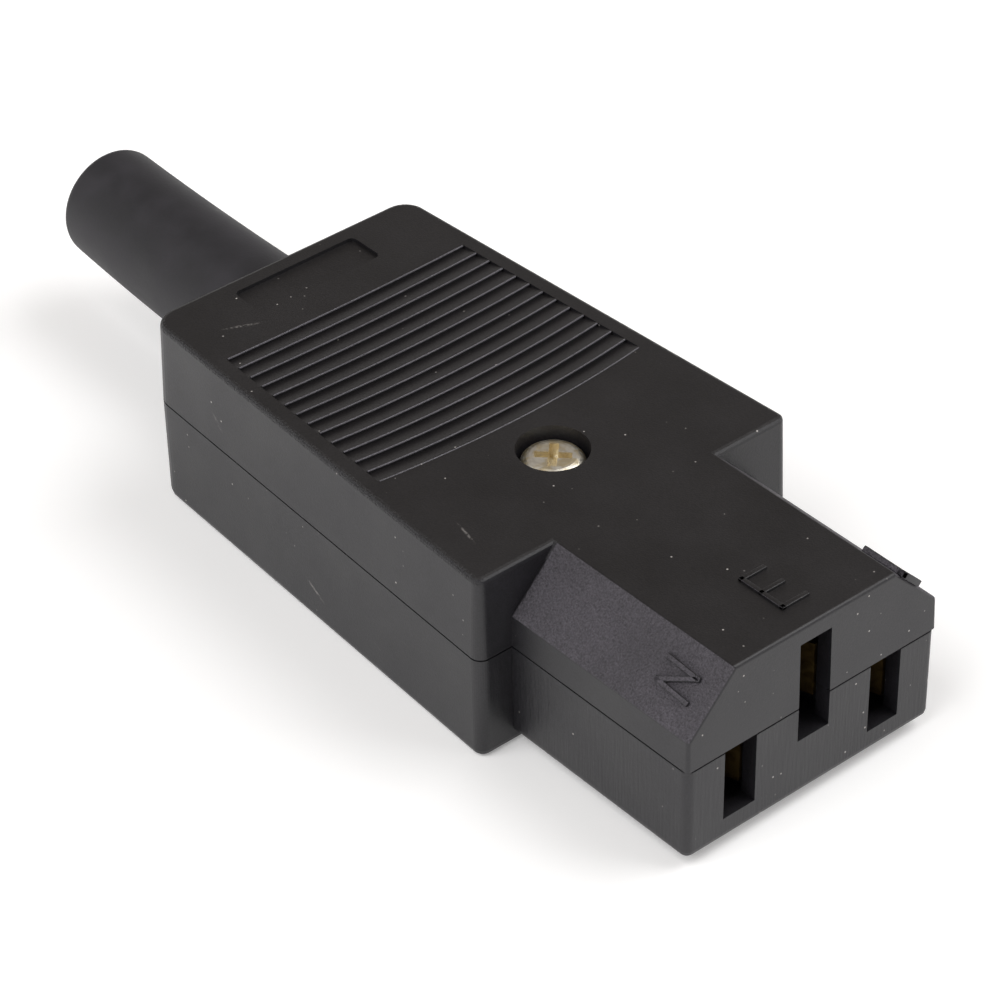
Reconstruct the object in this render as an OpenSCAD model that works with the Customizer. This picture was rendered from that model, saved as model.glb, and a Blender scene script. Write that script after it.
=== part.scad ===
// Rewirable three-pole appliance connector, C13 pattern, for a flexible cord.
// Two moulded half shells hold three folded brass spring contacts, a cord clamp and a rubber boot.
// X runs from the boot to the mating nose, Y across the width, Z up from the face it lies on.
// The origin is in the middle of the whole length, on the lowest face.

/* [Body] */
// Length of the wide body, without the nose
body_l = 41.7; // [40.5:0.1:44]
// Width of the body at the nose end
body_front_w = 30.2; // [29.8:0.1:33]
// Width of the body at the cord end
body_back_w = 25.7; // [25:0.1:28]
// Height of the closed body
body_h = 16.2; // [15.9:0.1:18]
// Height of the parting plane between the two shells
split_z = 9; // [8.7:0.05:9.1]
// Wall of the two shells
wall = 2; // [1.7:0.1:2.2]
// Corner radius at the cord end, seen from above
back_corner_r = 2.2; // [1.5:0.1:4]
// Corner radius at the nose end, seen from above
front_corner_r = 0.9; // [0.9:0.1:2.5]
// Rounding of the outer top edges
edge_r = 0.4; // [0.2:0.05:0.6]
// Rounding of the outer bottom edges
foot_r = 0.6; // [0.3:0.05:0.7]
// Inward lean of the side walls of the upper shell, over its height
draft = 0.2; // [0:0.05:0.3]
// The same for the lower shell
lower_draft = 0.05; // [0:0.05:0.2]
// Height of the relief that shows as a line between the shells
seam_h = 0.12; // [0.05:0.01:0.3]
// Depth of that relief into the wall
seam_d = 0.35; // [0.2:0.05:0.6]

/* [Nose] */
// Length of the nose that enters the inlet
nose_l = 18.4; // [17.5:0.1:20]
// Width of the nose
nose_w = 24; // [23.4:0.1:24.4]
// Width of the flat on top, between the two bevels
nose_top_w = 15.4; // [14:0.1:17]
// Height of the nose's underside above the body's underside
nose_lift = 1; // [0.5:0.1:1.4]
// Height where the bevels start
bevel_z = 11.8; // [11.5:0.1:12.8]
// Rounding of the upright nose corners below the parting plane
nose_corner_r = 0.7; // [0.5:0.1:1.2]
// Rounding of the nose edges above the parting plane
nose_edge_r = 0.3; // [0.15:0.05:0.5]
// Thickness of the front wall that holds the slots
face_wall = 1.4; // [1:0.1:2]

/* [Pin slots] */
// Distance between the line and the neutral pin
pole_pitch = 14; // [13.8:0.1:14.2]
// Width of each slot
slot_w = 3; // [2.6:0.1:3.2]
// Height of the line and the neutral slot
slot_h = 6.05; // [5.6:0.05:6.2]
// Height of the earth slot
earth_slot_h = 8.7; // [7.5:0.1:8.9]
// Height of the underside of the earth slot
earth_slot_z = 6.05; // [5.9:0.05:6.3]
// Width of the chamber behind each slot
chamber_w = 4.3; // [4.2:0.1:4.6]
// Height of the earth pin above the other two
earth_rise = 4; // [3.8:0.1:4.2]

/* [Grip steps] */
// Number of crest lines across the top
grip_lines = 14; // [8:1:14]
// Distance from one crest line to the next
grip_pitch = 1.49; // [1.3:0.01:1.55]
// Distance from the back face to the first line
grip_start = 8.45; // [7:0.05:8.6]
// Depth of each step
grip_d = 0.28; // [0.1:0.02:0.5]
// Forward bow of the first line
grip_bow_first = 0.2; // [0.1:0.05:0.5]
// Forward bow of the last line
grip_bow_last = 0.85; // [0.5:0.05:1.1]
// Plain margin beside the lines
grip_margin = 1.7; // [1:0.1:3]
// Flat left on each crest
grip_land = 0.1; // [0.05:0.05:0.3]

/* [Label pocket] */
// Length of the pocket, across the body
label_l = 11.7; // [8:0.1:14]
// Width of the pocket, along the body
label_w = 3.5; // [2.5:0.1:4.2]
// Distance from the back face to the pocket
label_start = 1.75; // [1.4:0.05:2.5]
// Depth of the pocket
label_d = 0.3; // [0.1:0.05:0.6]
// Corner radius of the pocket
label_r = 0.5; // [0.2:0.1:1]

/* [Case screw] */
// Distance from the back face to the screw
screw_x = 33.1; // [32.6:0.1:33.6]
// Sideways place of the screw
screw_y = -0.6; // [-0.8:0.1:-0.4]
// Diameter of the screw head
screw_head_d = 5; // [4.6:0.1:5.2]
// Height of the screw head
screw_head_h = 1.9; // [1.5:0.1:2.2]
// Length of the screw below its head
screw_l = 10; // [9:0.5:11]
// Diameter of the screw's shank
screw_d = 2.45; // [2.2:0.05:2.6]
// Depth of the head below the top face
screw_sink = 0.6; // [0.3:0.1:0.8]
// Width of the trapped nut across its flats
nut_af = 5; // [4.6:0.1:5.2]
// Height of the trapped nut
nut_h = 2; // [1.6:0.1:2.2]

/* [Cord boot] */
// Length of the boot outside the body
boot_reach = 24.5; // [18:0.5:35]
// Outer radius of the boot at the body
boot_r = 5.2; // [5:0.05:5.4]
// Outer radius of the boot at its free end
boot_tip_r = 4.95; // [4.6:0.05:5.2]
// Radius of the passage for the cord
cord_r = 3.7; // [3:0.1:3.8]
// Rounding of the free end
boot_end_r = 0.9; // [0.4:0.1:1.1]
// Radius of the small collar against the back face
collar_r = 5.6; // [5.5:0.05:6]
// Length of that collar
collar_l = 0.9; // [0.5:0.1:1.5]
// Radius of the flange trapped between the shells
flange_r = 6.4; // [6.2:0.1:6.6]
// Thickness of that flange
flange_t = 1.8; // [1.4:0.1:2.2]

/* [Contacts] */
// Thickness of the contact sheet
sheet_t = 0.5; // [0.4:0.05:0.55]
// Height of the two spring leaves
leaf_h = 4.6; // [4:0.1:4.8]
// Height of the leaves above the floor of their chamber
leaf_rise = 1; // [0.7:0.1:1]
// Length of a spring leaf
leaf_l = 9; // [7:0.5:10]
// Gap between the leaves where they grip the pin
pinch_gap = 1.7; // [1.5:0.1:1.9]
// Length of the closed channel behind the leaves
channel_l = 6; // [4:0.5:6.5]
// Thickness of the folded terminal plate
plate_t = 1; // [0.8:0.1:1.2]
// Length of the terminal plate, along the body
plate_l = 7; // [6.4:0.1:7.4]
// Metal beside the tapped hole of the earth terminal plate
plate_margin = 1.45; // [1:0.05:1.6]
// Height of the tail that joins a channel to its terminal plate
tail_h = 4; // [3.5:0.1:4.4]
// Length over which a tail moves to its own lane
jog_l = 2.6; // [2:0.1:3]
// Distance from the back face to the line and neutral terminal screws
side_terminal_x = 29; // [28:0.5:30]
// Distance from the back face to the earth terminal screw
earth_terminal_x = 20.5; // [20:0.5:22]

/* [Terminal screws] */
// Diameter of the shank
terminal_d = 2.9; // [2.6:0.1:3]
// Diameter of the head
terminal_head_d = 5; // [4.6:0.1:5.2]
// Height of the head
terminal_head_h = 1.9; // [1.5:0.1:2.2]
// Length below the head
terminal_l = 4.8; // [4:0.1:4.9]
// Thickness of the wire clamp under the head
clamp_t = 0.8; // [0.6:0.1:1]
// Width of the wire clamp, across the body
clamp_w = 5.2; // [4.8:0.1:5.4]

/* [Cord clamp] */
// Distance from the back face to the middle of the clamp
strap_x = 10.8; // [10.5:0.1:12]
// Width of the strap along the cord
strap_w = 4; // [3:0.5:4.5]
// Thickness of the strap's ears
strap_t = 2; // [1.6:0.1:2.4]
// Thickness of the strap's arch
arch_t = 1.3; // [1:0.1:1.4]
// Depth of the strap's underside below the middle of the cord
strap_drop = 0.9; // [0.6:0.1:1.1]
// Distance from the centre to each clamp screw
strap_screw_y = 7.9; // [7.8:0.1:8.2]
// Diameter of the clamp screws
strap_screw_d = 2.2; // [2:0.1:2.4]
// Length of the clamp screws below the head
strap_screw_l = 7; // [6:0.5:7.5]

/* [Hidden] */

$fn = 48;
HULL_FN = 32;      // facets of the posts inside a hull
BIG = 100;         // larger than the part
EPS = 0.02;        // overlap that keeps a cut clean
FIT = 0.15;        // clearance of a piece in its seat
GAP = 0.3;         // clearance beside a piece that only lies near
THREAD = 0.05;     // radial clearance of a screw in its tapped hole

// Places along the length, all from the back face of the body
overall_l = boot_reach + body_l + nose_l;
back_x = boot_reach - overall_l / 2;
nose_end = body_l + nose_l;
chamber_end = nose_end - face_wall;

// Body outline
taper_a = atan((body_front_w - body_back_w) / 2 / body_l);
inner_top = body_h - wall;
lip_t = 0.9;                     // the lip stands on the inner part of the wall
lip_h = 0.9;
lip_out = wall - lip_t;
inner_corner_r = 0.8;

// Screw seats
head_top = body_h - screw_sink;
head_seat = head_top - screw_head_h;
boss_wall = 0.8;
boss_r = nut_af / 2 / cos(30) + boss_wall;
counterbore_r = screw_head_d / 2 + GAP;
nut_seat = split_z - nut_h - FIT;

// Lanes between the poles: the earth tail passes beside the screw boss
barrier_t = 0.8;
barrier_y = screw_y + boss_r + GAP + sheet_t + GAP + barrier_t / 2;
barrier_x = earth_terminal_x - plate_l / 2 - 1;

// Contacts
pole_y = pole_pitch / 2;
slot_z = split_z - slot_h;
chamber_z = slot_z - GAP;
side_leaf_top = chamber_z + leaf_rise + leaf_h;
earth_leaf_top = side_leaf_top + earth_rise;
core_h = 2.6;                    // hollow over the line and neutral contacts
channel_out = chamber_w / 2 - FIT;
channel_in = channel_out - sheet_t;
leaf_end = chamber_end - GAP;
leaf_start = leaf_end - leaf_l;
channel_start = leaf_start - channel_l;
jog_start = body_l - wall - GAP;
earth_tail_y = barrier_y - barrier_t / 2 - GAP;
side_tail_y = half_w(side_terminal_x - plate_l / 2) - wall - 2 * GAP;

// Terminals
side_plate_z = chamber_z + tail_h - plate_t;
side_plate_in = barrier_y + barrier_t / 2 + GAP;
side_terminal_y = (side_plate_in + side_tail_y - sheet_t) / 2;
side_screw_z = side_plate_z + plate_t + clamp_t;
earth_plate_z = earth_slot_z;
earth_plate_in = -terminal_d / 2 - plate_margin;
earth_screw_z = earth_plate_z + plate_t + clamp_t;

// Boot seats
boot_hole_r = boot_r + FIT;
flange_x = wall + FIT;
rib_x = flange_x + flange_t + FIT;
rib_t = 1.5;
spigot_r = boot_r - GAP;
spigot_end = rib_x + rib_t + 2 * GAP;

// Cord clamp
arch_in = cord_r - 0.2;          // the strap and the saddle bite into the cord's jacket
arch_out = arch_in + arch_t;
strap_z = split_z - strap_drop;
strap_head_d = 4.2;
strap_head_h = 1.6;
strap_l = 2 * strap_screw_y + strap_head_d + 2 * GAP;
pillar_r = strap_screw_d / 2 + 1.4;
saddle_z = strap_z - 1.2;

// ---------- shared forms ----------

// Draws what is measured from the back face of the body in the part's own frame
module from_back() {
    translate([back_x, 0, 0]) children();
}

// Half width of the body at a distance from its back face
function half_w(x) = body_back_w / 2 + x * tan(taper_a);

// Centre of an outline corner that lies inset from the outline and has a radius of r
function corner_at(x, inset, r) = [x, half_w(x) - (inset + r) / cos(taper_a)];
function back_centre(inset, r) = corner_at(inset + r, inset, r);
function front_centre(inset, r) = corner_at(body_l - inset - r, inset, r);

// Points of an arc from angle a0 to a1
function arc(c, r, a0, a1, n = 8) =
    [for (i = [0 : n]) let (a = a0 + (a1 - a0) * i / n) [c[0] + r * cos(a), c[1] + r * sin(a)]];

// The same points on the other side, in reverse order
function mirrored(pts) = [for (i = [len(pts) - 1 : -1 : 0]) [pts[i][0], -pts[i][1]]];

// Outline of the body from above, moved inwards by inset
function body_outline(inset, back_r, front_r) =
    let (half = concat(
        arc(front_centre(inset, front_r), front_r, 0, 90 + taper_a),
        arc(back_centre(inset, back_r), back_r, 90 + taper_a, 180)))
    concat(half, mirrored(half));

// Rectangle with round corners, centred on the origin
module round_rect(x, y, r) {
    quarter = arc([x / 2 - r, y / 2 - r], r, 0, 90, 4);
    left = [for (i = [len(quarter) - 1 : -1 : 0]) [-quarter[i][0], quarter[i][1]]];
    half = concat(quarter, left);
    polygon(concat(half, mirrored(half)));
}

// Upright post: full radius at the parting plane, leaning in to a rounded far end
module post(r, far_z, lean, round_r) {
    up = far_z > split_z ? 1 : -1;
    rim_r = min(round_r, r - lean - EPS);
    rim = [for (a = [0 : 30 : 90])
        [r - lean - rim_r + rim_r * cos(a), far_z - up * rim_r * (1 - sin(a))]];
    rotate_extrude($fn = HULL_FN)
        polygon(concat([[0, split_z], [r, split_z]], rim, [[0, far_z]]));
}

// Outer form of one half of the body
module body_half(far_z, lean, round_r) {
    back = back_centre(0, back_corner_r);
    front = front_centre(0, front_corner_r);
    hull() for (side = [-1, 1]) {
        translate([back[0], side * back[1], 0]) post(back_corner_r, far_z, lean, round_r);
        translate([front[0], side * front[1], 0]) post(front_corner_r, far_z, lean, round_r);
    }
}

// Tunnel along X, centred on y, from z0 to z1
module tunnel(x0, x1, y, w, z0, z1) {
    translate([x0, y - w / 2, z0]) cube([x1 - x0, w, z1 - z0]);
}

// Round rod along X on the axis of the cord
module cord_rod(x0, x1, r) {
    translate([x0, 0, split_z]) rotate([0, 90, 0]) cylinder(r = r, h = x1 - x0);
}

// Seats of the boot in both shells: the hole in the back wall and the groove for the flange
module boot_cut() {
    cord_rod(-1, wall + EPS, boot_hole_r);
    cord_rod(flange_x - FIT, rib_x, flange_r + FIT);
    cord_rod(rib_x - EPS, rib_x + rib_t + EPS, spigot_r + FIT);
}

// Cross wall that closes the flange groove, between two heights
module boot_rib(z0, z1) {
    w = 2 * half_w(rib_x) - 2 * wall + 2 * EPS;
    translate([wall - EPS, -w / 2, z0]) cube([rib_x + rib_t - wall + EPS, w, z1 - z0]);
}

// Outline of the closed case at the parting plane, moved inwards
module case_outline(inset) {
    polygon(body_outline(inset, back_corner_r - inset, front_corner_r - inset));
    translate([body_l - wall, -nose_w / 2 + inset])
        square([nose_l + wall - inset, nose_w - 2 * inset]);
}

// ---------- lower shell ----------

// Outer form of the nose below the parting plane
module nose_lower() {
    y = nose_w / 2 - nose_corner_r;
    hull() for (x = [body_l - wall, nose_end - nose_corner_r], side = [-1, 1])
        translate([x, side * y, 0]) post(nose_corner_r, nose_lift, lower_draft, foot_r);
}

// Pad under a terminal plate, with room for the tip of its screw
module terminal_pad(x, y, top) {
    translate([x, y, wall - EPS]) difference() {
        translate([-plate_l / 2, -clamp_w / 2, 0]) cube([plate_l, clamp_w, top - wall + EPS]);
        translate([0, 0, FIT]) cylinder(d = terminal_d + 2 * GAP, h = BIG);
    }
}

// Saddle under the cord, opposite the strap, between the pillars of the two clamp screws
module cord_saddle() {
    difference() {
        union() {
            translate([strap_x - strap_w / 2, -strap_screw_y, wall - EPS])
                cube([strap_w, 2 * strap_screw_y, saddle_z - wall + EPS]);
            for (side = [-1, 1]) translate([strap_x, side * strap_screw_y, wall - EPS])
                cylinder(r = pillar_r, h = strap_z - wall + EPS);
        }
        cord_rod(strap_x - strap_w, strap_x + strap_w, arch_in);
        for (side = [-1, 1])
            translate([strap_x, side * strap_screw_y, strap_z + strap_t - strap_screw_l - GAP])
                cylinder(d = strap_screw_d + 2 * THREAD, h = BIG);
    }
}

// Thin walls that keep the three poles apart
module pole_barriers(z0, z1) {
    for (side = [-1, 1])
        translate([barrier_x, side * barrier_y - barrier_t / 2, z0])
            cube([body_l - wall - barrier_x + EPS, barrier_t, z1 - z0]);
}

// Contact chambers and slots of the nose, cut from the lower shell
module lower_chambers() {
    for (side = [-1, 1]) {
        tunnel(body_l - wall - EPS, chamber_end, side * pole_y, chamber_w, chamber_z, BIG);
        tunnel(chamber_end - EPS, nose_end + 1, side * pole_y, slot_w, slot_z, BIG);
    }
    tunnel(body_l - wall - EPS, chamber_end, 0, chamber_w, earth_slot_z, BIG);
    tunnel(chamber_end - EPS, nose_end + 1, 0, slot_w, earth_slot_z, BIG);
}

module lower_shell() {
    color([0.2, 0.2, 0.21]) from_back() difference() {
        union() {
            difference() {
                union() {
                    body_half(0, lower_draft, foot_r);
                    nose_lower();
                    // Lip that enters the upper shell
                    linear_extrude(split_z + lip_h)
                        polygon(body_outline(lip_out, inner_corner_r + wall - lip_out,
                            inner_corner_r + wall - lip_out));
                }
                // Wiring chamber
                translate([0, 0, wall]) linear_extrude(BIG)
                    polygon(body_outline(wall, inner_corner_r, inner_corner_r));
            }
            boot_rib(wall - EPS, split_z);
            translate([screw_x, screw_y, wall - EPS]) cylinder(r = boss_r, h = split_z - wall + EPS);
            for (side = [-1, 1]) terminal_pad(side_terminal_x, side * side_terminal_y, side_plate_z);
            terminal_pad(earth_terminal_x, 0, earth_plate_z);
            cord_saddle();
            pole_barriers(wall - EPS, split_z - GAP);
        }
        lower_chambers();
        boot_cut();
        // Pocket of the trapped nut and room for the tip of the screw
        translate([screw_x, screw_y, nut_seat]) cylinder(d = (nut_af + FIT) / cos(30), h = BIG, $fn = 6);
        translate([screw_x, screw_y, head_seat - screw_l - GAP]) cylinder(d = screw_d + GAP, h = BIG);
    }
}

// ---------- upper shell ----------

// Outer form of the nose above the parting plane: upright sides, two bevels and a flat top
module nose_upper() {
    r = nose_edge_r;
    lean = draft / 2;
    hull() for (x = [body_l - wall, nose_end - r], side = [-1, 1]) {
        translate([x, side * (nose_w / 2 - r), split_z]) cylinder(r = r, h = EPS, $fn = HULL_FN);
        translate([x - lean / 2, side * (nose_w / 2 - r - lean / 2), bevel_z - r / 2])
            sphere(r = r, $fn = HULL_FN);
        translate([x - lean, side * (nose_top_w / 2 - r / 2), body_h - r]) sphere(r = r, $fn = HULL_FN);
    }
}

// Bowed sawtooth steps: each rises to a crest line and drops on its nose side
module grip_steps() {
    steps = grip_lines - 1;
    bow_rise = (grip_bow_last - grip_bow_first) / steps;
    intersection() {
        for (i = [0 : steps - 1]) {
            crest_x = grip_start + i * grip_pitch;
            bow = grip_bow_first + i * bow_rise;
            half_chord = half_w(crest_x) - grip_margin;
            r = (half_chord * half_chord + bow * bow) / (2 * bow);
            ramp_l = grip_pitch - grip_land;
            half_a = asin((half_chord + 1) / r);
            translate([crest_x + bow - r, 0, body_h]) rotate([0, 0, -half_a])
                rotate_extrude(angle = 2 * half_a, $fn = 720)
                    polygon([[r, 1], [r, -grip_d], [r + ramp_l, 0], [r + ramp_l, 1]]);
        }
        grip_field();
    }
}

// Field of the grip steps, which follows the sides of the body
module grip_field() {
    x0 = grip_start - grip_pitch;
    x1 = grip_start + grip_lines * grip_pitch + grip_bow_last;
    y0 = half_w(x0) - grip_margin;
    y1 = half_w(x1) - grip_margin;
    translate([0, 0, body_h - 1]) linear_extrude(3)
        polygon([[x0, -y0], [x1, -y1], [x1, y1], [x0, y0]]);
}

// Shallow pocket near the cord end
module label_pocket() {
    translate([label_start + label_w / 2, 0, body_h - label_d])
        linear_extrude(1) round_rect(label_w, label_l, label_r);
}

// Relief around the parting plane
module seam_relief() {
    translate([0, 0, split_z - EPS]) linear_extrude(seam_h + EPS) difference() {
        translate([-wall, -BIG / 2]) square([BIG, BIG]);
        case_outline(seam_d);
    }
}

// Contact chambers and the upper part of the earth slot, cut from the upper shell
module upper_chambers() {
    earth_top = earth_slot_z + earth_slot_h;
    tunnel(body_l - wall - EPS, chamber_end, 0, chamber_w, 0, earth_top);
    tunnel(chamber_end - EPS, nose_end + 1, 0, slot_w, 0, earth_top);
    for (side = [-1, 1])
        tunnel(body_l - wall - EPS, chamber_end, side * pole_y, chamber_w, 0, split_z + core_h);
}

module upper_shell() {
    color([0.17, 0.16, 0.16]) from_back() difference() {
        union() {
            difference() {
                union() {
                    body_half(body_h, draft, edge_r);
                    nose_upper();
                }
                // Wiring chamber
                linear_extrude(inner_top)
                    polygon(body_outline(wall, inner_corner_r, inner_corner_r));
                // Rebate for the lip of the lower shell
                linear_extrude(split_z + lip_h + FIT)
                    polygon(body_outline(lip_out - FIT, inner_corner_r + wall - lip_out + FIT,
                        inner_corner_r + wall - lip_out + FIT));
            }
            boot_rib(split_z + lip_h + 2 * FIT, inner_top + EPS);
            translate([screw_x, screw_y, split_z]) cylinder(r = boss_r, h = inner_top - split_z + EPS);
        }
        upper_chambers();
        boot_cut();
        // Room for the strap over the cord
        cord_rod(strap_x - strap_w / 2 - GAP, strap_x + strap_w / 2 + GAP, arch_out + FIT);
        seam_relief();
        grip_steps();
        label_pocket();
        translate([screw_x, screw_y, head_seat]) cylinder(r = counterbore_r, h = BIG);
        translate([screw_x, screw_y, 0]) cylinder(d = screw_d + GAP, h = BIG);
    }
}

// ---------- cord boot ----------

module cord_boot() {
    mouth_bevel = 0.3;
    tip = [for (a = [180 : -30 : 90])
        [-boot_reach + boot_end_r + boot_end_r * cos(a), boot_tip_r - boot_end_r + boot_end_r * sin(a)]];
    outline = concat(
        [[-boot_reach, cord_r + mouth_bevel]], tip,
        [[-collar_l - collar_r + boot_r, boot_r], [-collar_l, collar_r], [0, collar_r], [0, boot_r],
         [flange_x, boot_r], [flange_x, flange_r], [flange_x + flange_t, flange_r],
         [flange_x + flange_t, spigot_r], [spigot_end, spigot_r], [spigot_end, cord_r],
         [-boot_reach + mouth_bevel, cord_r]]);
    color([0.24, 0.23, 0.25]) from_back() translate([0, 0, split_z]) rotate([0, 90, 0])
        rotate_extrude() polygon([for (p = outline) [p[1], p[0]]]);
}

// ---------- fasteners ----------

// Pan head on a shank, with the underside of the head at the origin
module pan_screw(head_d, head_h, shank_d, shank_l) {
    crown = head_h * 0.45;
    flat_r = head_d * 0.3;
    tip = shank_d / 8;
    rim = [for (a = [0 : 15 : 90])
        [flat_r + (head_d / 2 - flat_r) * cos(a), head_h - crown + crown * sin(a)]];
    rotate_extrude() polygon(concat(
        [[0, -shank_l], [shank_d / 2 - tip, -shank_l], [shank_d / 2, -shank_l + tip],
         [shank_d / 2, 0], [head_d / 2, 0]], rim, [[0, head_h]]));
}

// Cross recess in a head, in proportion to it
module cross_recess(head_d, head_h) {
    reach = head_d * 0.56;
    w = head_d * 0.14;
    floor_z = head_h * 0.38;
    for (a = [45, 135]) rotate([0, 0, a])
        translate([-reach / 2, -w / 2, floor_z]) cube([reach, w, head_h]);
}

// Straight slot across a head, in proportion to it
module straight_slot(head_d, head_h) {
    w = head_d * 0.16;
    floor_z = head_h * 0.52;
    translate([-head_d, -w / 2, floor_z]) cube([2 * head_d, w, head_h]);
}

module case_screw() {
    color([0.8, 0.76, 0.66]) from_back() translate([screw_x, screw_y, head_seat]) difference() {
        pan_screw(screw_head_d, screw_head_h, screw_d, screw_l);
        cross_recess(screw_head_d, screw_head_h);
    }
}

module case_nut() {
    color([0.75, 0.73, 0.68]) from_back() translate([screw_x, screw_y, nut_seat]) difference() {
        cylinder(d = nut_af / cos(30), h = nut_h, $fn = 6);
        translate([0, 0, -1]) cylinder(d = screw_d + 2 * THREAD, h = nut_h + 2);
    }
}

module terminal_screws() {
    color([0.78, 0.74, 0.62]) from_back() for (p = [
        [side_terminal_x, side_terminal_y, side_screw_z],
        [side_terminal_x, -side_terminal_y, side_screw_z],
        [earth_terminal_x, 0, earth_screw_z]])
        translate(p) difference() {
            pan_screw(terminal_head_d, terminal_head_h, terminal_d, terminal_l);
            straight_slot(terminal_head_d, terminal_head_h);
        }
}

module cord_clamp_screws() {
    color([0.78, 0.76, 0.7]) from_back() for (side = [-1, 1])
        translate([strap_x, side * strap_screw_y, strap_z + strap_t]) difference() {
            pan_screw(strap_head_d, strap_head_h, strap_screw_d, strap_screw_l);
            cross_recess(strap_head_d, strap_head_h);
        }
}

// ---------- contacts ----------

// Distance from the centre line to the inside of a leaf, from its root at 0 to its lip at 1
PINCH_AT = 0.7;
function leaf_y(u) =
    u < PINCH_AT
    ? pinch_gap / 2 + (channel_in - pinch_gap / 2) * (1 + cos(180 * u / PINCH_AT)) / 2
    : pinch_gap / 2 + (channel_in - pinch_gap / 2) * (1 - cos(90 * (u - PINCH_AT) / (1 - PINCH_AT)));

// One bowed spring leaf, seen from above
module leaf_outline() {
    inside = [for (u = [0 : 0.05 : 1.001]) [leaf_start + u * leaf_l, leaf_y(u)]];
    outside = [for (i = [len(inside) - 1 : -1 : 0]) [inside[i][0], inside[i][1] + sheet_t]];
    polygon(concat([[leaf_start - EPS, channel_in]], inside, outside,
        [[leaf_start - EPS, channel_out]]));
}

// Tail on edge that runs back from the channel and jogs out to its own lane
module tail_outline(lane_y, end_x) {
    polygon([
        [channel_start + EPS, channel_in], [jog_start, channel_in],
        [jog_start - jog_l, lane_y - sheet_t], [end_x, lane_y - sheet_t],
        [end_x, lane_y], [jog_start - jog_l, lane_y],
        [jog_start, channel_out], [channel_start + EPS, channel_out]]);
}

// Folded contact on the centre line: channel, two leaves, tail and terminal plate.
// base_z is its underside, leaf_top the top of its leaves, lane_y the outside of its tail,
// screw the place of its terminal screw, plate_y and plate_z where its terminal plate starts.
module folded_contact(base_z, leaf_top, lane_y, screw, plate_y, plate_z) {
    end_x = screw[0] - plate_l / 2;
    difference() {
        union() {
            // Floor and upright sides of the channel
            translate([channel_start, -channel_out, base_z]) cube([channel_l, 2 * channel_out, sheet_t]);
            for (side = [-1, 1])
                translate([channel_start, side > 0 ? channel_in : -channel_out, base_z])
                    cube([channel_l + EPS, sheet_t, leaf_top - base_z]);
            // Spring leaves
            for (side = [0, 1]) mirror([0, side, 0])
                translate([0, 0, leaf_top - leaf_h]) linear_extrude(leaf_h) leaf_outline();
            // Tail and terminal plate
            translate([0, 0, base_z]) linear_extrude(tail_h) tail_outline(lane_y, end_x);
            translate([end_x, plate_y, plate_z]) cube([plate_l, lane_y - plate_y, plate_t]);
        }
        translate([screw[0], screw[1], plate_z - 1]) cylinder(d = terminal_d + 2 * THREAD, h = plate_t + 2);
    }
}

module side_contact() {
    translate([0, pole_y, 0]) folded_contact(chamber_z, side_leaf_top, side_tail_y - pole_y,
        [side_terminal_x, side_terminal_y - pole_y], side_plate_in - pole_y, side_plate_z);
}

module line_contact() {
    color([0.82, 0.66, 0.34]) from_back() side_contact();
}

module neutral_contact() {
    color([0.82, 0.66, 0.34]) from_back() mirror([0, 1, 0]) side_contact();
}

module earth_contact() {
    color([0.82, 0.66, 0.34]) from_back()
        folded_contact(earth_slot_z, earth_leaf_top, earth_tail_y,
            [earth_terminal_x, 0], earth_plate_in, earth_plate_z);
}

// Saddle washer over the strands, with two turned-up ends beside the screw head
module wire_clamp() {
    end_t = clamp_t * 0.6;
    end_h = clamp_t * 1.6;
    clamp_l = terminal_head_d + GAP + 2 * end_t;
    difference() {
        union() {
            translate([-clamp_l / 2, -clamp_w / 2, 0]) cube([clamp_l, clamp_w, clamp_t]);
            for (end = [-1, 1])
                translate([end * (clamp_l - end_t) / 2 - end_t / 2, -clamp_w / 2, 0])
                    cube([end_t, clamp_w, end_h]);
        }
        translate([0, 0, -1]) cylinder(d = terminal_d + GAP, h = BIG);
    }
}

module line_wire_clamp() {
    color([0.7, 0.68, 0.62]) from_back()
        translate([side_terminal_x, side_terminal_y, side_plate_z + plate_t]) wire_clamp();
}

module neutral_wire_clamp() {
    color([0.7, 0.68, 0.62]) from_back()
        translate([side_terminal_x, -side_terminal_y, side_plate_z + plate_t]) wire_clamp();
}

module earth_wire_clamp() {
    color([0.7, 0.68, 0.62]) from_back()
        translate([earth_terminal_x, 0, earth_plate_z + plate_t]) wire_clamp();
}

// ---------- cord clamp ----------

// Arched strap with two ears, on the pillars of the lower shell
module cord_clamp_strap() {
    color([0.28, 0.28, 0.3]) from_back() difference() {
        union() {
            translate([strap_x - strap_w / 2, -strap_l / 2, strap_z]) cube([strap_w, strap_l, strap_t]);
            cord_rod(strap_x - strap_w / 2, strap_x + strap_w / 2, arch_out);
        }
        cord_rod(strap_x - strap_w, strap_x + strap_w, arch_in);
        translate([0, -BIG / 2, strap_z - BIG]) cube([BIG, BIG, BIG]);
        for (side = [-1, 1]) translate([strap_x, side * strap_screw_y, 0])
            cylinder(d = strap_screw_d + GAP, h = BIG);
    }
}

lower_shell();
upper_shell();
cord_boot();
case_screw();
case_nut();
line_contact();
neutral_contact();
earth_contact();
line_wire_clamp();
neutral_wire_clamp();
earth_wire_clamp();
terminal_screws();
cord_clamp_strap();
cord_clamp_screws();
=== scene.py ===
"""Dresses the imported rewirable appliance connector: shells, rubber boot, plated screw and inner metalwork.

Every length field is in millimetres in the row's frame: X from the boot to the nose, Y across, and Z up from
the lowest face.
"""

from __future__ import annotations

import logging
import math
from dataclasses import dataclass
from enum import Enum
from typing import Iterable, Mapping, Sequence

import bmesh
import bpy
from mathutils import Matrix, Vector

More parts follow.
